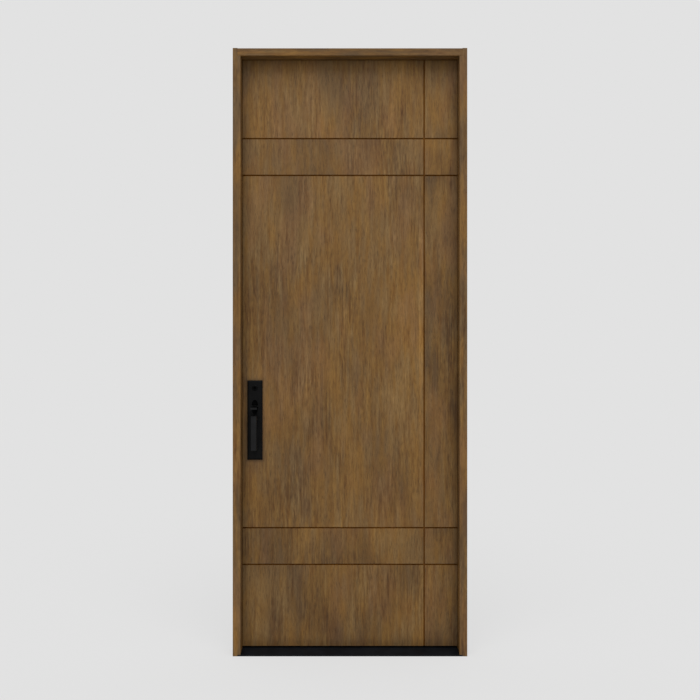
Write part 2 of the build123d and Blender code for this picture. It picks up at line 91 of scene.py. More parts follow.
# Painted shade at the slab's rim, beside the frame, and round the outside plate: where it fades, and its
# darkest tone
RIM_SHADE_FADE = (0.004, 0.045)
RIM_SHADE_TONE = 0.78
PLATE_SHADE_FADE = (0.0, 0.014)
PLATE_SHADE_TONE = 0.68

# Slot of the outside plate that the thumb piece comes through: width, lowest and highest edge
THUMB_SLOT = (0.0258, 1.0001, 1.0439)

# Hollows round the thumb piece: share of the slot's width, then depth and half height below it,
# and shares of the room above it
HOLLOW_WIDTH = 0.46
HOLLOW_BELOW = (0.0066, 0.0235)
HOLLOW_ABOVE = (0.96, 0.78)
HOLLOW_LIFT = 0.001
HOLLOW_SIDES = (40, 24)

# Faces of the thumb piece whose normal's Y is above this get the hollows' matte black as painted shade: all
# but its front
THUMB_PAINTED_SHADE = -0.6

# Filling of the slot: how far its front is sunk, its floor's thickness, and the room over the thumb piece
SCOOP_SUNK = 0.0004
SCOOP_FLOOR = 0.0003
SCOOP_ROOM = 0.004

# Key cylinder's collar: radius of its front rim, depth of its slope, and how much of the rim its plug takes
COLLAR_RIM = 0.0082
COLLAR_SLOPE = 0.0024
PLUG_SHARE = 0.95

# Sweep: how far it stops short of the slab's two edges, the strip's border beside the fins, its rounding
SWEEP_INSETS = (0.004, 0.003)
SWEEP_BORDER = 0.002
SWEEP_ROUNDING = 0.0003

# Screws: places up and across a hinge leaf, the leaf's depth, distances from the plates' ends,
# and places along the sill
LEAF_SPOTS = ((-0.0385, 0.011), (-0.014, 0.025), (0.014, 0.011), (0.0385, 0.025))
LEAF_DEPTH = 0.036
STRIKE_INSET = 0.008
FACEPLATE_INSET = 0.010
INSIDE_INSET = 0.030
SILL_PLACES = (-0.36, -0.12, 0.12, 0.36)

# Screw head, in shares of its radius: radius of its top, and length and width of its slots
CROWN_TOP = 0.86
SLOT_LENGTH = 1.16
SLOT_WIDTH = 0.26
TWIST_SEED = 5

LOCK_BEVEL = math.radians(3.0)
HINGES = range(1, 5)
X, Y, Z = range(3)

# How near points count as one, how flat, sharp or straight an edge is, and how long one is to be rounded
WELD = 2e-5
NEAR = 1e-4
FLAT = math.radians(0.5)
CORNER = math.radians(28)
SHARP = math.radians(40)
STRAIGHT = 0.999
LONG_EDGE = 0.02
HINGE_EDGE = 0.006
PLATE_EDGE = 0.004
ROUND_STEPS = 2
HALVED = 0.5

# Tooth of the finishes, as features to the metre along each axis
SPRAY = (1500.0, 1500.0, 1500.0)
DRAWN = (6.0, 1400.0, 1400.0)
FOAM = (420.0, 420.0, 420.0)
CHIPS = (160.0, 60.0, 160.0)

# Bump of the wood: strength and depth in metres, and strength for the coats. Tone of the slab's edges,
# and how much paler the clouds of a coat are
WOOD_BUMP = (0.35, 0.0006)
COAT_BUMP = 0.3
EDGE_TONE = 0.93
PALER = 1.5

FLOOR_HALF = 40.0
SENSOR_WIDTH = 36.0
SIGHT = 200.0


def colour_property(name, description, default):
    """A colour that a user can change."""
    return FloatVectorProperty(
        name=name, description=description, subtype="COLOR", min=0, max=1, default=default
    )


def length_property(name, description, default):
    """A length that a user can change."""
    return FloatProperty(name=name, description=description, unit="LENGTH", min=0, default=default)


def share_property(name, description, default):
    """A share from none to all that a user can change."""
    return FloatProperty(name=name, description=description, subtype="FACTOR", min=0, max=1, default=default)


def level_property(name, description, default):
    """A strength with no upper limit that a user can change."""
    return FloatProperty(name=name, description=description, min=0, default=default)


class StainSettings(bpy.types.PropertyGroup):
    """Stain colours of the wood and tones of the slab's panels."""

    slab: colour_property("Slab", "Main stain of the slab's faces", (0.1680, 0.0920, 0.0288))
    frame: colour_property("Frame", "Main stain of the jambs and the head", (0.1190, 0.0657, 0.0225))
    warm: colour_property(
        "Warm patches", "Stain where the veneer is more orange", (0.1780, 0.0872, 0.0181)
    )
    mauve: colour_property(
        "Mauve patches", "Stain where the veneer is more mauve", (0.1750, 0.0832, 0.0292)
    )
    fleck: colour_property("Flecks", "Dark brown of the short flecks", (0.0790, 0.0400, 0.0108))
    groove: colour_property(
        "Groove tint", "How much of each part of the stain the routed grooves keep", (0.80, 0.62, 0.46)
    )
    lower_tone: share_property("Lower panels", "Brightness of the two lowest bands of the slab", 0.890)
    side_tone: share_property(
        "Side panels", "Brightness of the narrow panels beside the upright groove", 0.890
    )
    upper_tone: level_property("Upper panels", "Brightness of the two highest bands of the slab", 1.035)
    lower_contrast: level_property("Lower contrast", "Contrast of the clouds in the two lowest bands", 1.6)
    side_contrast: level_property("Side contrast", "Contrast of the clouds in the narrow panels", 2.3)


class CoatSettings(bpy.types.PropertyGroup):
    """Colours of the coated metal, the sill and the seals."""

    plate: colour_property(
        "Plates", "Matte black coat of the handle plates and the lock", (0.0030, 0.0030, 0.0031)
    )
    grip: colour_property(
        "Grips", "Matte black coat of the grip, thumb piece, lever and thumbturn", (0.0068, 0.0068, 0.0070)
    )
    hinge: colour_property(
        "Hinges", "Matte black coat of the hinges and their screws", (0.0100, 0.0100, 0.0103)
    )
    sill: colour_property(
        "Sill", "Black anodised deck of the sill and its screws", (0.0034, 0.0042, 0.0056)
    )
    seal: colour_property(
        "Seals", "Dark brown foam of the weatherstrips and the bottom seal", (0.0480, 0.0220, 0.0070)
    )


class EaseSettings(bpy.types.PropertyGroup):
    """How far the sharp edges of each kind of piece are rounded."""

    frame: length_property("Frame edges", "Rounding of the jambs' and the head's long edges", 0.0010)
    slab: length_property("Slab edges", "Rounding of the slab's face edges and the groove lips", 0.0007)
    sill: length_property("Sill edges", "Rounding of the sill's long edges", 0.0006)
    metal: length_property(
        "Metal edges", "Rounding of the handle set's edges, halved for the lock and the hinges", 0.0005
    )
    seal: length_property("Seal edges", "Rounding of the weatherstrips' long edges", 0.0010)


class SealSettings(bpy.types.PropertyGroup):
    """Sizes of the sweep under the slab."""

    strip: length_property("Strip", "Thickness of the sweep's strip under the slab", 0.0008)
    fins: IntProperty(name="Fins", description="Number of fins on the sweep", min=1, default=5)
    fin_step: length_property("Fin step", "Distance from one fin to the next", 0.0070)
    fin_width: length_property("Fin width", "Thickness of a fin", 0.0009)
    clearance: length_property("Clearance", "How far the fins stop above the sill", 0.0009)


class ScrewSettings(bpy.types.PropertyGroup):
    """Sizes of the cross-slotted screw heads."""

    large: length_property(
        "Hinge screw", "Radius of the screw heads in the hinges and the sill cap", 0.0042
    )
    small: length_property(
        "Plate screw", "Radius of the screw heads in the lock and handle plates", 0.0034
    )
    rise: length_property("Rise", "How far a screw head stands above its seat", 0.0004)
    sides: IntProperty(name="Sides", description="Sides of a screw head's rim", min=8, default=24)


class StudioSettings(bpy.types.PropertyGroup):
    """Camera, lamps and the pale ground."""

    camera_place: FloatVectorProperty(
        name="Camera", description="Where the camera stands",
        subtype="TRANSLATION", default=(0.0, -4.449, 1.2438),
    )
    lens: FloatProperty(
        name="Lens", description="Focal length on a sensor 36 mm wide",
        unit="CAMERA", min=1, default=55.626,
    )
    ground: share_property(
        "Ground", "Grey of the pale floor and background, as light sent to the camera", 0.7605
    )
    floor_white: share_property("Floor white", "How much light the matte floor sends back", 0.64)
    shadow: share_property("Shadow", "Strength of the door's shadow on the floor", 0.25)
    sky_level: level_property("Sky level", "Even light from all round", 0.60)
    lamp_level: level_property("Lamp level", "Strength of the broad lamp above and before the door", 1.845)
    lamp_spread: FloatProperty(
        name="Lamp spread", description="How broad the lamp looks from the door",
        subtype="ANGLE", min=0, max=math.pi, default=math.radians(51),
    )
    lamp_height: FloatProperty(
        name="Lamp height", description="Angle of the lamp above the horizon",
        subtype="ANGLE", default=math.radians(53),
    )
    lamp_side: FloatProperty(
        name="Lamp side", description="Angle of the lamp to the left of straight ahead",
        subtype="ANGLE", default=0.0,
    )


class EntryDoorSettings(bpy.types.PropertyGroup):
    """All sizes and colours of the entry door."""

    stain: PointerProperty(type=StainSettings)
    coat: PointerProperty(type=CoatSettings)
    ease: PointerProperty(type=EaseSettings)
    seal: PointerProperty(type=SealSettings)
    screw: PointerProperty(type=ScrewSettings)
    studio: PointerProperty(type=StudioSettings)


def settings():
    """The door's sizes and colours on the current scene."""
    return bpy.context.scene.entry_door


class Web:
    """Adds nodes to one tree and joins what they are given to their inputs."""

    def __init__(self, tree):
        self.tree = tree

    def add(self, kind, ports=None, **choices):
        """A new node with its choices set and its ports joined or given a value."""
        made = self.tree.nodes.new(kind)
        for choice, value in choices.items():
            setattr(made, choice, value)
        for port, value in (ports or {}).items():
            if isinstance(value, bpy.types.NodeSocket):
                self.join(value, made.inputs[port])
            else:
                made.inputs[port].default_value = value
        return made

    def join(self, output, port):
        """A link from an output to an input."""
        self.tree.links.new(output, port)

    def sum(self, operation, first, second=0.0, third=0.0):
        """One step of arithmetic on numbers."""
        ports = {0: first, 1: second, 2: third}
        return self.add("ShaderNodeMath", ports, operation=operation).outputs[0]

    def vector(self, operation, first, second=(0.0, 0.0, 0.0)):
        """One step of arithmetic on vectors."""
        return self.add("ShaderNodeVectorMath", {0: first, 1: second}, operation=operation).outputs[0]

    def scaled(self, vector, amount):
        """A vector or colour times a number."""
        made = self.add("ShaderNodeVectorMath", {0: vector, "Scale": amount}, operation="SCALE")
        return made.outputs[0]

    def noise(self, vector, stretch, detail=1.0, roughness=0.5):
        """Soft noise with so many features to the metre along each axis."""
        place = self.vector("MULTIPLY", vector, stretch)
        ports = {"Vector": place, "Scale": 1.0, "Detail": detail, "Roughness": roughness}
        return self.add("ShaderNodeTexNoise", ports).outputs["Fac"]

    def ramp(self, value, low, high, start=0.0, end=1.0):
        """Eases from start to end as a value goes from low to high."""
        ports = {"Value": value, 1: low, 2: high, 3: start, 4: end}
        return self.add("ShaderNodeMapRange", ports, interpolation_type="SMOOTHSTEP").outputs[0]

    def mixed(self, share, first, second):
        """One colour turning into another."""
        ports = {0: share, 6: first, 7: second}
        return self.add("ShaderNodeMix", ports, data_type="RGBA").outputs[2]

    def between(self, share, first, second):
        """One number turning into another."""
        ports = {0: share, 2: first, 3: second}
        return self.add("ShaderNodeMix", ports, data_type="FLOAT").outputs[0]

    def apart(self, vector):
        """The three parts of a vector."""
        return self.add("ShaderNodeSeparateXYZ", {0: vector}).outputs

    def together(self, x, y, z):
        """A vector from its three parts."""
        return self.add("ShaderNodeCombineXYZ", {0: x, 1: y, 2: z}).outputs[0]


def opaque(colour):
    """A colour with full opacity, as a colour socket takes it."""
    return (*colour, 1.0)


def new_group(name, kind, inputs, outputs):
    """An empty node group with named sockets, the web to fill it, and its two ends."""
    tree = bpy.data.node_groups.new(name, kind)
    for in_out, sockets in (("INPUT", inputs), ("OUTPUT", outputs)):
        for socket, sort in sockets.items():
            tree.interface.new_socket(socket, in_out=in_out, socket_type=f"NodeSocket{sort}")
    web = Web(tree)
    given = web.add("NodeGroupInput").outputs
    result = web.add("NodeGroupOutput").inputs
    return tree, web, given, result


def stained_grain():
    """Stained wood with its grain along Z: colour, roughness and height."""
    known = bpy.data.node_groups.get("stained_grain")
    if known:
        return known
    tree, web, given, result = new_group(
        "stained_grain", "ShaderNodeTree",
        {
            "Vector": "Vector", "Shift": "Vector",
            "Body": "Color", "Warm": "Color", "Fleck": "Color", "Mauve": "Color",
            "Tone": "Float", "Contrast": "Float",
        },
        {"Color": "Color", "Roughness": "Float", "Height": "Float"},
    )
    moved = web.vector("ADD", given["Vector"], given["Shift"])
    sway = web.sum("MULTIPLY_ADD", web.noise(moved, (3.0, 3.0, 1.1)), 0.024, -0.012)
    place = web.vector("ADD", moved, web.together(sway, sway, 0.0))

    def elsewhere(x, y, z):
        return web.vector("ADD", place, (x, y, z))

    cloud = web.noise(place, (5.0, 5.0, 2.4), 2.0)
    band = web.noise(elsewhere(2.2, 6.4, 8.1), (20.0, 20.0, 5.5), 1.0, 0.9)
    fibre = web.noise(place, (80.0, 80.0, 4.0), 0.0)
    strand = web.noise(elsewhere(3.1, 5.2, 0.7), (105.0, 105.0, 10.0), 0.0)
    stroke = web.noise(elsewhere(6.3, 2.4, 4.4), (150.0, 150.0, 34.0), 0.0)
    vein = web.noise(elsewhere(1.6, 9.5, 7.2), (380.0, 380.0, 8.0), 0.0)
    pore = web.noise(place, (760.0, 760.0, 40.0), 1.0)
    gather = web.noise(elsewhere(9.2, 0.6, 5.8), (13.0, 13.0, 3.4), 1.0)
    crowd = web.sum("MULTIPLY_ADD", gather, 2.6, -0.34)

    def swings(*waves):
        total = 0.0
        for wave, depth in waves:
            total = web.sum("MULTIPLY_ADD", web.sum("SUBTRACT", wave, 0.5), depth, total)
        return total

    fine = swings((fibre, 0.36), (strand, 0.51), (stroke, 0.42), (vein, 0.40))
    broad = web.sum("MULTIPLY", swings((cloud, 1.08), (band, 0.30)), given["Contrast"])
    broad = web.sum("MINIMUM", web.sum("MAXIMUM", broad, -0.30), 0.30)
    fine = web.sum("MULTIPLY", fine, crowd)
    streaked = web.vector("ADD", web.scaled((0.75, 1.0, 1.42), fine), (1.0, 1.0, 1.0))
    clouded = web.scaled((1.0, 1.0, 0.72), broad)
    pits = web.ramp(pore, 0.54, 0.64, 1.0, 0.66)
    tone = web.sum("MULTIPLY", given["Tone"], pits)
    tone = web.scaled(web.vector("ADD", streaked, clouded), tone)

    patch = web.noise(elsewhere(4.7, 1.3, 2.9), (9.0, 9.0, 4.0), 1.0)
    thread = web.noise(elsewhere(5.5, 8.3, 6.1), (60.0, 60.0, 8.0), 0.0)
    warmth = web.ramp(web.sum("MULTIPLY_ADD", thread, 0.45, web.sum("MULTIPLY", patch, 0.55)), 0.37, 0.63)
    blush = web.ramp(web.noise(elsewhere(7.9, 3.8, 1.7), (14.0, 14.0, 4.0), 1.0), 0.46, 0.70, 0.0, 0.42)
    stain = web.mixed(warmth, given["Body"], given["Warm"])
    stain = web.mixed(blush, stain, given["Mauve"])
    dash = web.noise(elsewhere(0.4, 7.1, 3.3), (140.0, 140.0, 9.0), 1.0)
    flecks = web.sum("MULTIPLY", web.ramp(dash, 0.54, 0.70), web.ramp(gather, 0.50, 0.66, 0.0, 0.35))
    stain = web.mixed(flecks, stain, given["Fleck"])
    web.join(web.vector("MULTIPLY", stain, tone), result["Color"])

    shine = web.sum("MULTIPLY_ADD", fibre, 0.16, 0.42)
    web.join(web.sum("MULTIPLY_ADD", flecks, 0.10, shine), result["Roughness"])
    height = web.sum("MULTIPLY_ADD", pits, 0.45, web.sum("MULTIPLY", fibre, 0.55))
    web.join(web.sum("MULTIPLY_ADD", flecks, -0.30, height), result["Height"])
    return tree


def panel_layout():
    """Where the slab's grooves part the veneer: a shift of the grain and a tone for each panel, with painted
    shade at the slab's rim and round the outside plate.
    """
    known = bpy.data.node_groups.get("panel_layout")
    if known:
        return known
    tree, web, given, result = new_group(
        "panel_layout", "ShaderNodeTree",
        {
            "Vector": "Vector",
            "Lower tone": "Float", "Upper tone": "Float", "Side tone": "Float",
            "Lower contrast": "Float", "Side contrast": "Float",
        },
        {"Shift": "Vector", "Tone": "Float", "Contrast": "Float"},
    )
    x, _, z = web.apart(given["Vector"])
    row = web.sum("GREATER_THAN", z, GROOVE_HEIGHTS[0])
    for height in GROOVE_HEIGHTS[1:]:
        row = web.sum("ADD", row, web.sum("GREATER_THAN", z, height))
    column = web.sum("GREATER_THAN", x, GROOVE_X)
    panel = web.sum("MULTIPLY_ADD", row, 2.0, column)
    # Rows are counted from 0 at the bottom: 2 is the main one, 3 the band above it
    main_or_upper = web.sum("COMPARE", row, 2.5, 0.6)
    outer_side = web.sum("MULTIPLY", column, web.sum("SUBTRACT", 1.0, main_or_upper))
    step = web.vector("ADD", web.scaled(SIDE_STEP, outer_side), PANEL_STEP)
    web.join(web.scaled(step, panel), result["Shift"])

    above = web.sum("GREATER_THAN", z, GROOVE_HEIGHTS[1])
    contrasts = (
        web.between(above, given["Lower contrast"], 1.0), web.between(column, 1.0, given["Side contrast"])
    )
    web.join(web.sum("MAXIMUM", *contrasts), result["Contrast"])

    tone = web.between(above, given["Lower tone"], 1.0)
    tone = web.sum("MULTIPLY", tone, web.between(column, 1.0, given["Side tone"]))
    high_up = web.sum("GREATER_THAN", z, GROOVE_HEIGHTS[2])
    tone = web.sum("MULTIPLY", tone, web.between(high_up, 1.0, given["Upper tone"]))
    from_streak = web.sum("ABSOLUTE", web.sum("SUBTRACT", x, GROOVE_X - STREAK_OFFSET))
    pale = web.ramp(from_streak, *STREAK_FADE, STREAK_GAIN, 0.0)
    pale = web.sum("MULTIPLY", pale, web.ramp(z, *STREAK_BEGINS))
    pale = web.sum("MULTIPLY", pale, web.ramp(z, *STREAK_ENDS, 1.0, 0.0))
    tone = web.sum("ADD", tone, pale)
    # Painted shade: the tone darkens towards the slab's rim, where the frame shades it
    rim = web.sum("SUBTRACT", SKIN_HIGH.x, web.sum("ABSOLUTE", x))
    for end in (web.sum("SUBTRACT", SKIN_HIGH.z, z), web.sum("SUBTRACT", z, SKIN_LOW.z)):
        rim = web.sum("MINIMUM", rim, end)
    tone = web.sum("MULTIPLY", tone, web.ramp(rim, *RIM_SHADE_FADE, RIM_SHADE_TONE, 1.0))
    # Painted shade: the tone darkens round the outside plate and under it
    low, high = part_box("exterior_plate")
    beside = []
    for part, start, end in ((x, low.x, high.x), (z, low.z, high.z)):
        from_middle = web.sum("ABSOLUTE", web.sum("SUBTRACT", part, (start + end) / 2))
        beside.append(web.sum("SUBTRACT", from_middle, (end - start) / 2))
    plate_shade = web.ramp(web.sum("MAXIMUM", *beside), *PLATE_SHADE_FADE, PLATE_SHADE_TONE, 1.0)
    web.join(web.sum("MULTIPLY", tone, plate_shade), result["Tone"])
    return tree


def coat_texture():
    """Fine tooth of a sprayed or foamed surface: a mask of soft clouds, roughness and height."""
    known = bpy.data.node_groups.get("coat_texture")
    if known:
        return known
    tree, web, given, result = new_group(
        "coat_texture", "ShaderNodeTree",
        {"Vector": "Vector", "Stretch": "Vector", "Dull": "Float", "Spread": "Float"},
        {"Cloud": "Float", "Roughness": "Float", "Height": "Float"},
    )
    grit = web.noise(given["Vector"], given["Stretch"], 2.0, 0.6)
    cloud = web.noise(given["Vector"], (17.0, 17.0, 17.0), 3.0)
    web.join(cloud, result["Cloud"])
    wide = web.sum("MULTIPLY_ADD", cloud, 0.6, web.sum("MULTIPLY", grit, 0.4))
    spread = web.sum("MULTIPLY", web.sum("SUBTRACT", wide, 0.5), given["Spread"])
    web.join(web.sum("ADD", spread, given["Dull"]), result["Roughness"])
    web.join(grit, result["Height"])
    return tree


def cleared(holder):
    """The web of a material's or a world's node tree, emptied."""
    holder.use_nodes = True
    holder.node_tree.nodes.clear()
    return Web(holder.node_tree)


def new_material(name):
    """An empty material: its web, its surface shader and the object coordinates."""
    material = bpy.data.materials.new(name)
    web = cleared(material)
    surface = web.add("ShaderNodeBsdfPrincipled")
    web.add("ShaderNodeOutputMaterial", {"Surface": surface.outputs[0]})
    place = web.add("ShaderNodeTexCoord").outputs["Object"]
    return material, web, surface, place


def dress_surface(web, surface, texture, strength, relief, gloss):
    """Give a surface shader its roughness, relief and gloss."""
    web.join(texture["Roughness"], surface.inputs["Roughness"])
    bump = web.add("ShaderNodeBump", {"Height": texture["Height"], "Strength": strength, "Distance": relief})
    web.join(bump.outputs[0], surface.inputs["Normal"])
    surface.inputs["Specular IOR Level"].default_value = gloss


def wood_material(name, body, level=False, panels=False, tone=1.0, tint=(1.0, 1.0, 1.0), gloss=0.28):
    """Stained wood; level turns the grain along X, and panels parts it at the grooves."""
    stain = settings().stain
    material, web, surface, place = new_material(name)
    if level:
        turn = (0.0, math.radians(90), 0.0)
        place = web.add("ShaderNodeMapping", {"Vector": place, "Rotation": turn}).outputs[0]
    stains = {"Body": body, "Warm": stain.warm, "Fleck": stain.fleck, "Mauve": stain.mauve}
    ports = {port: opaque(a * b for a, b in zip(colour, tint)) for port, colour in stains.items()}
    ports.update({"Vector": place, "Tone": tone, "Contrast": 1.0})
    if panels:
        tones = {
            "Vector": place,
            "Lower tone": stain.lower_tone,
            "Upper tone": stain.upper_tone,
            "Side tone": stain.side_tone,
            "Lower contrast": stain.lower_contrast,
            "Side contrast": stain.side_contrast,
        }
        layout = web.add("ShaderNodeGroup", tones, node_tree=panel_layout()).outputs
        ports["Shift"] = layout["Shift"]
        ports["Contrast"] = layout["Contrast"]
        ports["Tone"] = web.sum("MULTIPLY", layout["Tone"], tone)
    grain = web.add("ShaderNodeGroup", ports, node_tree=stained_grain()).outputs
    web.join(grain["Color"], surface.inputs["Base Color"])
    dress_surface(web, surface, grain, *WOOD_BUMP, gloss)
    return material


def coat_material(name, colour, dull, spread, stretch, relief, gloss):
    """A coated, anodised or moulded finish with a fine tooth and soft clouds in its colour."""
    material, web, surface, place = new_material(name)
    ports = {"Vector": place, "Stretch": stretch, "Dull": dull, "Spread": spread}
    texture = web.add("ShaderNodeGroup", ports, node_tree=coat_texture()).outputs
    paler = tuple(min(1.0, part * PALER) for part in colour)
    tint = web.mixed(web.ramp(texture["Cloud"], 0.35, 0.65), opaque(colour), opaque(paler))
    web.join(tint, surface.inputs["Base Color"])
    dress_surface(web, surface, texture, COAT_BUMP, relief, gloss)
    return material


def finish(name):
    """The material of that name, made on first use."""
    known = bpy.data.materials.get(name)
    if known:
        return known
    stain = settings().stain
    edge = tuple(part * EDGE_TONE for part in stain.slab)
    woods = {
        "jamb_stain": {"body": stain.frame},
        "head_stain": {"body": stain.frame, "level": True, "tone": 0.94, "tint": (1.0, 0.97, 0.86)},
        "slab_veneer": {"body": stain.slab, "panels": True},
        "groove_stain": {"body": stain.slab, "panels": True, "tint": stain.groove, "gloss": 0.0},
        "stile_stain": {"body": edge},
        "rail_stain": {"body": edge, "level": True},
    }
    if name in woods:
        return wood_material(name, **woods[name])
    # Colour, mean roughness and its spread, tooth and its relief in metres, and gloss
    coat = settings().coat
    coats = {
        "plate_coat": (coat.plate, 0.48, 0.12, SPRAY, 0.00008, 0.08),
        "grip_coat": (coat.grip, 0.46, 0.12, SPRAY, 0.00008, 0.12),
        "lock_coat": (coat.plate, 0.42, 0.14, SPRAY, 0.00008, 0.25),
        "hinge_coat": (coat.hinge, 0.42, 0.14, SPRAY, 0.00008, 0.25),
        "cylinder_coat": ((0.0012, 0.0012, 0.0012), 0.44, 0.12, SPRAY, 0.00008, 0.055),
        # Matte black of the hollows and the sunk plug, also painted as shade on the thumb piece
        "recess_and_shade_black": ((0.0030, 0.0030, 0.0030), 0.8, 0.2, SPRAY, 0.00008, 0.0),
        # Black vinyl cap, darker than the deck, partly as painted shade in the gap under the slab
        "cap_black_and_gap_shade": ((0.0012, 0.0012, 0.0013), 0.6, 0.2, DRAWN, 0.00010, 0.03),
        "sill_anodised": (coat.sill, 0.46, 0.16, DRAWN, 0.00010, 0.06),
        "sweep_vinyl": ((0.006, 0.006, 0.006), 0.6, 0.2, FOAM, 0.00010, 0.10),
        "strip_foam": (coat.seal, 0.85, 0.15, FOAM, 0.00060, 0.0),
        "sill_composite": ((0.03, 0.03, 0.03), 0.7, 0.2, FOAM, 0.00030, 0.25),
        "core_chips": ((0.33, 0.235, 0.135), 0.8, 0.2, CHIPS, 0.00080, 0.20),
    }
    return coat_material(name, *coats[name])


def put(piece):
    """Link a new piece to the scene."""
    bpy.context.scene.collection.objects.link(piece)
    return piece


def settled(piece):
    """Turn a piece with its modifiers into a plain mesh."""
    graph = bpy.context.evaluated_depsgraph_get()
    graph.update()
    mesh = bpy.data.meshes.new_from_object(piece.evaluated_get(graph))
    old = piece.data
    piece.modifiers.clear()
    piece.data = mesh
    mesh.name = piece.name
    bpy.data.meshes.remove(old)
    return piece


def merged_nodes(nodes, joints=()):
    """CAD nodes as one welded shape of whole flat faces, with no faces at the heights where they join."""
    shape = bmesh.new()
    for node in nodes:
        shape.from_mesh(frame["nodes"][node].data)
    seams = [
        face for face in shape.faces
        if any(all(abs(vert.co.z - joint) < WELD / 2 for vert in face.verts) for joint in joints)
    ]
    bmesh.ops.delete(shape, geom=seams, context="FACES")
    bmesh.ops.remove_doubles(shape, verts=shape.verts, dist=WELD)
    bmesh.ops.dissolve_limit(shape, angle_limit=FLAT, verts=shape.verts, edges=shape.edges)
    return shape


def ease_edges(shape, width, wanted):
    """Round the outward corners that are wanted."""
    chosen = [
        edge for edge in shape.edges
        if len(edge.link_faces) == 2 and edge.is_convex and edge.calc_face_angle() > CORNER and wanted(edge)
    ]
    bmesh.ops.bevel(
        shape, geom=chosen, offset=width, offset_type="OFFSET", segments=ROUND_STEPS, profile=0.5,
        affect="EDGES", clamp_overlap=True,
    )


def runs_along(axis):
    """A test for edges along one axis that are long enough to round."""
    def wanted(edge):
        start, end = (vert.co for vert in edge.verts)
        span = end - start
        return span.length > LONG_EDGE and abs(span[axis]) > STRAIGHT * span.length
    return wanted


def longer_than(shortest):
    """A test for edges that are long enough to round."""
    return lambda edge: edge.calc_length() > shortest


def lies_on(axis, level):
    """A test for edges on one plane that are long enough to round."""
    def wanted(edge):
        near = all(abs(vert.co[axis] - level) < NEAR for vert in edge.verts)
        return near and edge.calc_length() > LONG_EDGE
    return wanted


def taper_collar(shape, box, rim, rise):
    """Slope the key cylinder's collar from its side to a rim, and part its finish from the sunk plug's."""
    low, high = box
    centre = Vector(((low.x + high.x) / 2, low.y, (low.z + high.z) / 2))
    for vert in shape.verts:
        out = vert.co - centre
        depth = out.y
        out.y = 0.0
        if out.length > rim and depth < NEAR:
            vert.co = centre + out.normalized() * rim
        elif out.length > rim and depth < rise:
            vert.co.y = low.y + rise
    for face in shape.faces:
        far = max(Vector((vert.co.x - centre.x, vert.co.z - centre.z)).length for vert in face.verts)
        face.material_index = int(far < rim * PLUG_SHARE)


def bowl(middle, radii):
    """A rounded shape that hollows a piece out, with a black finish for the hollow."""
    shape = bmesh.new()
    around, upright = HOLLOW_SIDES
    bmesh.ops.create_uvsphere(shape, u_segments=around, v_segments=upright, radius=1.0)
    bmesh.ops.scale(shape, vec=radii, verts=shape.verts)
    bmesh.ops.translate(shape, vec=middle, verts=shape.verts)
    mesh = bpy.data.meshes.new("hollow")
    shape.to_mesh(mesh)
    shape.free()
    mesh.materials.append(finish("recess_and_shade_black"))
    return put(bpy.data.objects.new("hollow", mesh))


def piece_from(shape, name, materials, hollow=None):
    """A smoothly shaded piece from a finished shape, hollowed out where a hollow is given."""
    mesh = bpy.data.meshes.new(name)
    shape.to_mesh(mesh)
    shape.free()
    for material in materials:
        mesh.materials.append(finish(material))
    piece = put(bpy.data.objects.new(name, mesh))
    if hollow:
        cut = piece.modifiers.new("hollow", "BOOLEAN")
        cut.operation = "DIFFERENCE"
        cut.solver = "EXACT"
        cut.material_mode = "TRANSFER"
        cut.object = hollow
        settled(piece)
        spare = hollow.data
        bpy.data.objects.remove(hollow)
        bpy.data.meshes.remove(spare)
    piece.data.shade_smooth()
    piece.data.set_sharp_from_angle(angle=SHARP)
    even = piece.modifiers.new("even_shading", "WEIGHTED_NORMAL")
    even.keep_sharp = True
    return settled(piece)


def take_place(piece, *nodes):
    """Let a piece stand for CAD nodes: on their body, with the nodes hidden."""
    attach(piece, BODY_OF[nodes[0]])
    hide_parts(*nodes)


def dress_node(node, name, material, width, wanted):
    """Let a piece of one finish, with its wanted edges rounded, stand for a CAD node."""
    shape = merged_nodes([node])
    if wanted:
        ease_edges(shape, width, wanted)
    take_place(piece_from(shape, name, [material]), node)


def coat_node(node, material):
    """Give a CAD node that keeps its shape its finish."""
    mesh = frame["nodes"][node].data
    mesh.materials.clear()
    mesh.materials.append(finish(material))


class ENTRYDOOR_OT_frame_wood(bpy.types.Operator):
    """Jambs and head in stained wood with eased edges"""

    bl_idname = "entry_door.frame_wood"
    bl_label = "Frame Wood"

    def execute(self, context):
        members = (
            ("strike_jamb", STRIKE_LENGTHS, STRIKE_JOINTS, Z, "jamb_stain"),
            ("hinge_jamb_wood", ("hinge_jamb",), (), Z, "jamb_stain"),
            ("head_wood", ("head_jamb",), (), X, "head_stain"),
        )
        for name, nodes, joints, along, stain in members:
            shape = merged_nodes(nodes, joints)
            ease_edges(shape, settings().ease.frame, runs_along(along))
            take_place(piece_from(shape, name, [stain]), *nodes)
        return {"FINISHED"}


class ENTRYDOOR_OT_slab(bpy.types.Operator):
    """Grooved skins of the slab, its edges and its core"""

    bl_idname = "entry_door.slab"
    bl_label = "Slab"

    def execute(self, context):
        width = settings().ease.slab
        skins = (
            ("outside_skin", "exterior_face", OUTSIDE_FACE, 1.0),
            ("inside_skin", "interior_face", INSIDE_FACE, -1.0),
        )
        for name, node, level, inward in skins:
            shape = merged_nodes([node])
            ease_edges(shape, width, lies_on(Y, level))
            for face in shape.faces:
                middle = face.calc_center_median()
                depth = (middle.y - level) * inward
                within = abs(middle.x) < SKIN_HIGH.x - RIM_MARGIN
                within = within and SKIN_LOW.z + RIM_MARGIN < middle.z < SKIN_HIGH.z - RIM_MARGIN
                face.material_index = int(within and width * LIP_ROUNDINGS < depth < GROOVE_DEPTH + NEAR)
            take_place(piece_from(shape, name, ["slab_veneer", "groove_stain"]), node)
        inner = {
            "lock_stile": "stile_stain", "hinge_stile": "stile_stain",
            "top_rail": "rail_stain", "bottom_rail": "rail_stain", "core": "core_chips",
        }
        for node, material in inner.items():
            coat_node(node, material)
        return {"FINISHED"}


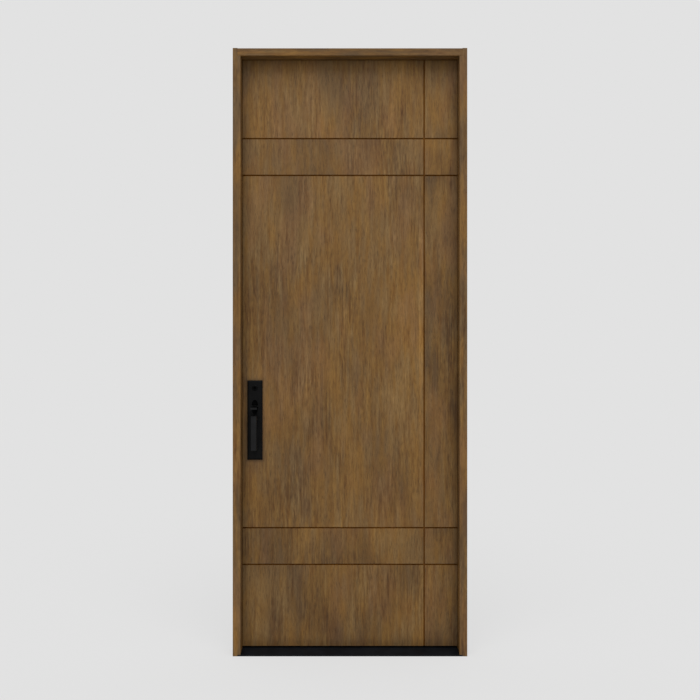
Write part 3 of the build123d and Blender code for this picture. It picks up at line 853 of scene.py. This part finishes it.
class ENTRYDOOR_OT_sill(bpy.types.Operator):
    """Black sill deck and cap with eased edges, over the sill's base; the cap's darker black is partly
    painted shade in the gap under the slab
    """

    bl_idname = "entry_door.sill"
    bl_label = "Sill"

    def execute(self, context):
        for node, material in (("sill_deck", "sill_anodised"), ("sill_cap", "cap_black_and_gap_shade")):
            dress_node(node, f"{node}_black", material, settings().ease.sill, runs_along(X))
        coat_node("sill_base", "sill_composite")
        return {"FINISHED"}


class ENTRYDOOR_OT_seals(bpy.types.Operator):
    """Foam weatherstrips and the seal under the slab"""

    bl_idname = "entry_door.seals"
    bl_label = "Seals"

    def execute(self, context):
        for side, axis in (("strike", Z), ("hinge", Z), ("head", X)):
            width = settings().ease.seal
            dress_node(f"weatherstrip_{side}", f"{side}_strip", "strip_foam", width, runs_along(axis))
        coat_node("bottom_seal", "strip_foam")
        return {"FINISHED"}


def end_tree(web, instances, material, result):
    """End a Geometry Nodes tree with its instances as one plain mesh in one material."""
    plain = web.add("GeometryNodeRealizeInstances", {"Geometry": instances})
    dressed = web.add("GeometryNodeSetMaterial", {"Geometry": plain.outputs[0], "Material": material})
    web.join(dressed.outputs[0], result["Geometry"])


def fin_tree():
    """Geometry Nodes: a row of thin fins hung from a strip."""
    known = bpy.data.node_groups.get("hung_fins")
    if known:
        return known
    tree, web, given, result = new_group(
        "hung_fins", "GeometryNodeTree",
        {
            "Geometry": "Geometry", "Count": "Int", "Start": "Vector", "Step": "Float",
            "Fin": "Vector", "Material": "Material",
        },
        {"Geometry": "Geometry"},
    )
    offset = web.together(0.0, given["Step"], 0.0)
    row = web.add(
        "GeometryNodeMeshLine", {"Count": given["Count"], "Start Location": given["Start"], "Offset": offset}
    )
    fin = web.add("GeometryNodeMeshCube", {"Size": given["Fin"]})
    hung = web.add("GeometryNodeInstanceOnPoints", {"Points": row.outputs[0], "Instance": fin.outputs[0]})
    both = web.add("GeometryNodeJoinGeometry")
    web.join(given["Geometry"], both.inputs[0])
    web.join(hung.outputs[0], both.inputs[0])
    end_tree(web, both.outputs[0], given["Material"], result)
    return tree


def set_inputs(modifier, values):
    """Give a Geometry Nodes modifier its values by the names of its tree's inputs."""
    for item in modifier.node_group.interface.items_tree:
        if item.in_out == "INPUT" and item.name in values:
            modifier[item.identifier] = values[item.name]


def block(low, high):
    """A closed block between two corners."""
    shape = bmesh.new()
    bmesh.ops.create_cube(shape, size=1.0)
    low, high = Vector(low), Vector(high)
    for vert in shape.verts:
        vert.co = (low + high) / 2 + vert.co * (high - low)
    return shape


def bar(outline, start, end):
    """A closed bar along X with an outline of Y and Z."""
    shape = bmesh.new()
    rings = [[shape.verts.new((along, y, z)) for y, z in outline] for along in (start, end)]
    for ring in rings:
        shape.faces.new(ring)
    for here, after in zip(range(len(outline)), [*range(1, len(outline)), 0]):
        shape.faces.new((rings[0][here], rings[0][after], rings[1][after], rings[1][here]))
    bmesh.ops.recalc_face_normals(shape, faces=shape.faces)
    return shape


class ENTRYDOOR_OT_sweep(bpy.types.Operator):
    """Black vinyl sweep under the slab: a strip with a row of fins that stop just above the sill"""

    bl_idname = "entry_door.sweep"
    bl_label = "Sweep"

    def execute(self, context):
        seal = settings().seal
        under = SKIN_LOW.z
        sill_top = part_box("sill_cap")[1].z
        ends = (SKIN_LOW.x + SWEEP_INSETS[0], SKIN_HIGH.x - SWEEP_INSETS[1])
        middle = (OUTSIDE_FACE + INSIDE_FACE) / 2
        half = seal.fin_step * (seal.fins - 1) / 2
        reach = half + SWEEP_BORDER
        strip = block((ends[0], middle - reach, under - seal.strip), (ends[1], middle + reach, under))
        ease_edges(strip, SWEEP_ROUNDING, runs_along(X))
        piece = piece_from(strip, "bottom_sweep", ["sweep_vinyl"])
        low = sill_top + seal.clearance
        high = under - seal.strip / 2
        fins = piece.modifiers.new("hung_fins", "NODES")
        fins.node_group = fin_tree()
        set_inputs(fins, {
            "Count": seal.fins,
            "Start": (sum(ends) / 2, middle - half, (low + high) / 2),
            "Step": seal.fin_step,
            "Fin": (ends[1] - ends[0], seal.fin_width, high - low),
            "Material": finish("sweep_vinyl"),
        })
        settled(piece)
        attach(piece, "door")
        return {"FINISHED"}


class ENTRYDOOR_OT_handles(bpy.types.Operator):
    """Handle plates, grip, thumb piece, key cylinder, lever and thumbturn in black coat, with painted shade
    on the thumb piece's faces but its front
    """

    bl_idname = "entry_door.handles"
    bl_label = "Handles"

    def execute(self, context):
        width = settings().ease.metal
        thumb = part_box("thumb_piece")
        middle = (thumb[0].x + thumb[1].x) / 2
        plate_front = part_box("exterior_plate")[0].y
        slot_width, under, top = THUMB_SLOT
        hollow_half = slot_width * HOLLOW_WIDTH
        pieces = (
            ("exterior_plate", "outside_plate", "plate_coat", 1.0),
            ("grip", "pull_grip", "grip_coat", 1.0),
            ("thumb_piece", "thumb_lever", "grip_coat", 0.6),
            ("lock_cylinder", "key_cylinder", "cylinder_coat", 0.0),
            ("interior_plate", "inside_plate", "plate_coat", 1.0),
            ("interior_lever", "inside_lever", "grip_coat", 0.8),
            ("thumbturn", "inside_thumbturn", "grip_coat", 0.8),
        )
        for node, name, coat, share in pieces:
            shape = merged_nodes([node])
            if share:
                ease_edges(shape, width * share, longer_than(PLATE_EDGE))
            coats = [coat]
            hollow = None
            if node == "thumb_piece":
                # Painted shade: every face of the thumb piece but its front gets the matte black
                coats.append("recess_and_shade_black")
                for face in shape.faces:
                    face.material_index = int(face.normal.y > THUMB_PAINTED_SHADE)
            if node == "lock_cylinder":
                coats.append("recess_and_shade_black")
                taper_collar(shape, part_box(node), COLLAR_RIM, COLLAR_SLOPE)
            if node == "exterior_plate":
                hollow = bowl((middle, plate_front, under + HOLLOW_LIFT), (hollow_half, *HOLLOW_BELOW))
            take_place(piece_from(shape, name, coats, hollow), node)

        front = plate_front + SCOOP_SUNK
        floor = OUTSIDE_FACE - SCOOP_FLOOR
        foot = thumb[1].z + SCOOP_ROOM
        outline = [
            (OUTSIDE_FACE, top), (OUTSIDE_FACE, under), (floor, under),
            (floor, foot), (front, foot), (front, top),
        ]
        scoop = bar(outline, middle - slot_width / 2, middle + slot_width / 2)
        for face in scoop.faces:
            face.material_index = int(face.calc_center_median().z < foot + WELD / 2)
        room = ((floor - front) * HOLLOW_ABOVE[0], (top - foot) * HOLLOW_ABOVE[1])
        arch = bowl((middle, front, foot), (hollow_half, *room))
        piece = piece_from(scoop, "thumb_recess", ["plate_coat", "recess_and_shade_black"], arch)
        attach(piece, "door")
        return {"FINISHED"}


class ENTRYDOOR_OT_lock(bpy.types.Operator):
    """Faceplate, bolts and strike plate in black coat"""

    bl_idname = "entry_door.lock"
    bl_label = "Lock"

    def execute(self, context):
        width = settings().ease.metal * HALVED
        for node in ("lock_faceplate", "strike_plate", "latch_bolt", "deadbolt"):
            dress_node(node, f"{node}_black", "lock_coat", width, longer_than(PLATE_EDGE))
        return {"FINISHED"}


class ENTRYDOOR_OT_hinges(bpy.types.Operator):
    """Leaves and pins of the butt hinges in black coat"""

    bl_idname = "entry_door.hinges"
    bl_label = "Hinges"

    def execute(self, context):
        width = settings().ease.metal * HALVED
        edges = longer_than(HINGE_EDGE)
        for number in HINGES:
            for part, wanted in (("jamb_leaf", edges), ("door_leaf", edges), ("pin", None)):
                node = f"hinge_{number}_{part}"
                dress_node(node, f"{node}_black", "hinge_coat", width, wanted)
        return {"FINISHED"}


def screw_tree():
    """Geometry Nodes: a cross-slotted head on each point, turned to face one way."""
    known = bpy.data.node_groups.get("screw_heads")
    if known:
        return known
    tree, web, given, result = new_group(
        "screw_heads", "GeometryNodeTree",
        {
            "Geometry": "Geometry", "Radius": "Float", "Rise": "Float", "Sides": "Int",
            "Facing": "Vector", "Material": "Material",
        },
        {"Geometry": "Geometry"},
    )
    depth = web.sum("MULTIPLY", given["Rise"], 2.0)
    crown = web.add(
        "GeometryNodeMeshCone",
        {
            "Vertices": given["Sides"],
            "Radius Top": web.sum("MULTIPLY", given["Radius"], CROWN_TOP),
            "Radius Bottom": given["Radius"],
            "Depth": depth,
        },
    )
    sunk = web.together(0.0, 0.0, web.sum("MULTIPLY", given["Rise"], -1.0))
    head = web.add("GeometryNodeTransform", {"Geometry": crown.outputs[0], "Translation": sunk}).outputs[0]
    long_side = web.sum("MULTIPLY", given["Radius"], SLOT_LENGTH)
    short_side = web.sum("MULTIPLY", given["Radius"], SLOT_WIDTH)
    raised = web.together(0.0, 0.0, given["Rise"])
    bars = web.add("GeometryNodeJoinGeometry")
    for size in ((long_side, short_side), (short_side, long_side)):
        slot = web.add("GeometryNodeMeshCube", {"Size": web.together(*size, depth)}).outputs[0]
        slot = web.add("GeometryNodeTransform", {"Geometry": slot, "Translation": raised}).outputs[0]
        web.join(slot, bars.inputs[0])
    cut = web.add("GeometryNodeMeshBoolean", operation="DIFFERENCE")
    web.join(head, cut.inputs[0])
    web.join(bars.outputs[0], cut.inputs[1])
    turn = web.add("FunctionNodeAlignRotationToVector", {"Vector": given["Facing"]}, axis="Z")
    spread = web.add(
        "GeometryNodeInstanceOnPoints",
        {"Points": given["Geometry"], "Instance": cut.outputs[0], "Rotation": turn.outputs[0]},
    )
    twist = web.add("FunctionNodeRandomValue", {2: 0.0, 3: math.pi, "Seed": TWIST_SEED}, data_type="FLOAT")
    spun = web.add(
        "GeometryNodeRotateInstances",
        {"Instances": spread.outputs[0], "Rotation": web.together(0.0, 0.0, twist.outputs[1])},
    )
    end_tree(web, spun.outputs[0], given["Material"], result)
    return tree


def screws(name, body, material, radius, facing, places):
    """One mesh of screw heads for one body, at places that all face one way."""
    mesh = bpy.data.meshes.new(name)
    mesh.from_pydata(places, [], [])
    piece = put(bpy.data.objects.new(name, mesh))
    heads = piece.modifiers.new("screw_heads", "NODES")
    heads.node_group = screw_tree()
    screw = settings().screw
    set_inputs(heads, {
        "Radius": radius, "Rise": screw.rise, "Sides": screw.sides,
        "Facing": facing, "Material": finish(material),
    })
    settled(piece)
    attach(piece, body)


class ENTRYDOOR_OT_screws(bpy.types.Operator):
    """Cross-slotted screws in the hinges, the lock, the inside plate and the sill cap"""

    bl_idname = "entry_door.screws"
    bl_label = "Screws"

    def execute(self, context):
        large, small = settings().screw.large, settings().screw.small
        leaves = (
            ("jamb", "frame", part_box("hinge_jamb")[0].x, (-1.0, 0.0, 0.0)),
            ("door", "door", SKIN_HIGH.x, (1.0, 0.0, 0.0)),
        )
        for side, body, plane, facing in leaves:
            places = []
            for number in HINGES:
                low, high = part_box(f"hinge_{number}_{side}_leaf")
                middle = (low.z + high.z) / 2
                places += [(plane, INSIDE_FACE - LEAF_DEPTH + back, middle + up) for up, back in LEAF_SPOTS]
            screws(f"{side}_hinge_screws", body, "hinge_coat", large, facing, places)

        low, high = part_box("strike_plate")
        across = (low.y + high.y) / 2
        places = [(high.x, across, up) for up in (low.z + STRIKE_INSET, high.z - STRIKE_INSET)]
        screws("strike_screws", "frame", "lock_coat", small, (1.0, 0.0, 0.0), places)

        low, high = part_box("lock_faceplate")
        across = (low.y + high.y) / 2
        plane = low.x + (high.y - across) * math.tan(LOCK_BEVEL)
        facing = (-math.cos(LOCK_BEVEL), -math.sin(LOCK_BEVEL), 0.0)
        places = [(plane, across, up) for up in (low.z + FACEPLATE_INSET, high.z - FACEPLATE_INSET)]
        screws("faceplate_screws", "door", "lock_coat", small, facing, places)

        low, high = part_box("interior_plate")
        middle = (low.x + high.x) / 2
        between = (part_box("interior_lever")[0].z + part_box("thumbturn")[1].z) / 2
        places = [(middle, high.y, up) for up in (low.z + INSIDE_INSET, between)]
        screws("inside_plate_screws", "door", "lock_coat", small, (0.0, 1.0, 0.0), places)

        low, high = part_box("sill_cap")
        places = [(along, (low.y + high.y) / 2, high.z) for along in SILL_PLACES]
        screws("sill_screws", "frame", "sill_anodised", large, (0.0, 0.0, 1.0), places)
        return {"FINISHED"}


class ENTRYDOOR_OT_studio(bpy.types.Operator):
    """Pale floor and background, broad soft light, and the camera"""

    bl_idname = "entry_door.studio"
    bl_label = "Studio"

    def execute(self, context):
        studio = settings().studio
        scene = context.scene
        scene.view_settings.view_transform = "Standard"

        world = bpy.data.worlds.new("studio_light")
        web = cleared(world)
        ray = web.add("ShaderNodeLightPath").outputs
        seen = web.sum("MAXIMUM", ray["Is Camera Ray"], ray["Is Glossy Ray"])
        seen = web.sum("MAXIMUM", seen, ray["Is Transmission Ray"])
        grey = (studio.ground, studio.ground, studio.ground, 1.0)
        shown = web.add("ShaderNodeBackground", {"Color": grey, "Strength": 1.0})
        light = web.add("ShaderNodeBackground", {"Color": (1, 1, 1, 1), "Strength": studio.sky_level})
        both = web.add("ShaderNodeMixShader", {0: seen, 1: light.outputs[0], 2: shown.outputs[0]})
        web.add("ShaderNodeOutputWorld", {"Surface": both.outputs[0]})
        scene.world = world

        lamp = bpy.data.lights.new("broad_lamp", "SUN")
        lamp.energy = studio.lamp_level
        lamp.angle = studio.lamp_spread
        hung = put(bpy.data.objects.new("broad_lamp", lamp))
        high, side = studio.lamp_height, studio.lamp_side
        toward = Vector((math.sin(side) * math.cos(high), math.cos(side) * math.cos(high), -math.sin(high)))
        hung.rotation_euler = toward.to_track_quat("-Z", "Y").to_euler()

        mesh = bpy.data.meshes.new("pale_floor")
        corners = [(x * FLOOR_HALF, y * FLOOR_HALF, 0) for x, y in ((-1, -1), (1, -1), (1, 1), (-1, 1))]
        mesh.from_pydata(corners, [], [(0, 1, 2, 3)])
        material = bpy.data.materials.new("pale_floor")
        web = cleared(material)
        ray = web.add("ShaderNodeLightPath").outputs
        white = studio.floor_white
        matte = web.add("ShaderNodeBsdfDiffuse", {"Color": (white, white, white, 1.0)})
        lit = white * (studio.sky_level + studio.lamp_level * math.sin(studio.lamp_height) / math.pi)
        level = (studio.ground - studio.shadow * lit) / (1.0 - studio.shadow)
        glow = web.add("ShaderNodeEmission", {"Color": (1, 1, 1, 1), "Strength": level})
        share = web.sum("MULTIPLY", ray["Is Camera Ray"], 1.0 - studio.shadow)
        both = web.add("ShaderNodeMixShader", {0: share, 1: matte.outputs[0], 2: glow.outputs[0]})
        web.add("ShaderNodeOutputMaterial", {"Surface": both.outputs[0]})
        mesh.materials.append(material)
        put(bpy.data.objects.new("pale_floor", mesh))

        camera = bpy.data.cameras.new("front_camera")
        camera.lens = studio.lens
        camera.sensor_width = SENSOR_WIDTH
        camera.clip_end = SIGHT
        stand = put(bpy.data.objects.new("front_camera", camera))
        stand.location = studio.camera_place
        stand.rotation_euler = (math.radians(90), 0, 0)
        scene.camera = stand
        return {"FINISHED"}


STEPS = (
    ENTRYDOOR_OT_frame_wood,
    ENTRYDOOR_OT_slab,
    ENTRYDOOR_OT_sill,
    ENTRYDOOR_OT_seals,
    ENTRYDOOR_OT_sweep,
    ENTRYDOOR_OT_handles,
    ENTRYDOOR_OT_lock,
    ENTRYDOOR_OT_hinges,
    ENTRYDOOR_OT_screws,
    ENTRYDOOR_OT_studio,
)


class ENTRYDOOR_PT_sidebar(bpy.types.Panel):
    """Lists the steps that dress the door and the values they use"""

    bl_idname = "ENTRYDOOR_PT_sidebar"
    bl_label = "Entry Door"
    bl_space_type = "VIEW_3D"
    bl_region_type = "UI"
    bl_category = "Entry Door"

    def draw(self, context):
        door = context.scene.entry_door
        for group in (door.stain, door.coat, door.ease, door.seal, door.screw, door.studio):
            box = self.layout.box()
            for name in group.__annotations__:
                box.prop(group, name)
        for step in STEPS:
            self.layout.operator(step.bl_idname)


CLASSES = (
    StainSettings,
    CoatSettings,
    EaseSettings,
    SealSettings,
    ScrewSettings,
    StudioSettings,
    EntryDoorSettings,
    *STEPS,
    ENTRYDOOR_PT_sidebar,
)


def register():
    """Add the classes and the door's settings to Blender."""
    for item in CLASSES:
        bpy.utils.register_class(item)
    bpy.types.Scene.entry_door = PointerProperty(type=EntryDoorSettings)


def unregister():
    """Take the classes and the door's settings out of Blender."""
    del bpy.types.Scene.entry_door
    for item in reversed(CLASSES):
        bpy.utils.unregister_class(item)


def main():
    """Register the classes and dress the door step by step."""
    register()
    for step in STEPS:
        group, name = step.bl_idname.split(".")
        getattr(getattr(bpy.ops, group), name)()


if __name__ == "__main__":
    main()
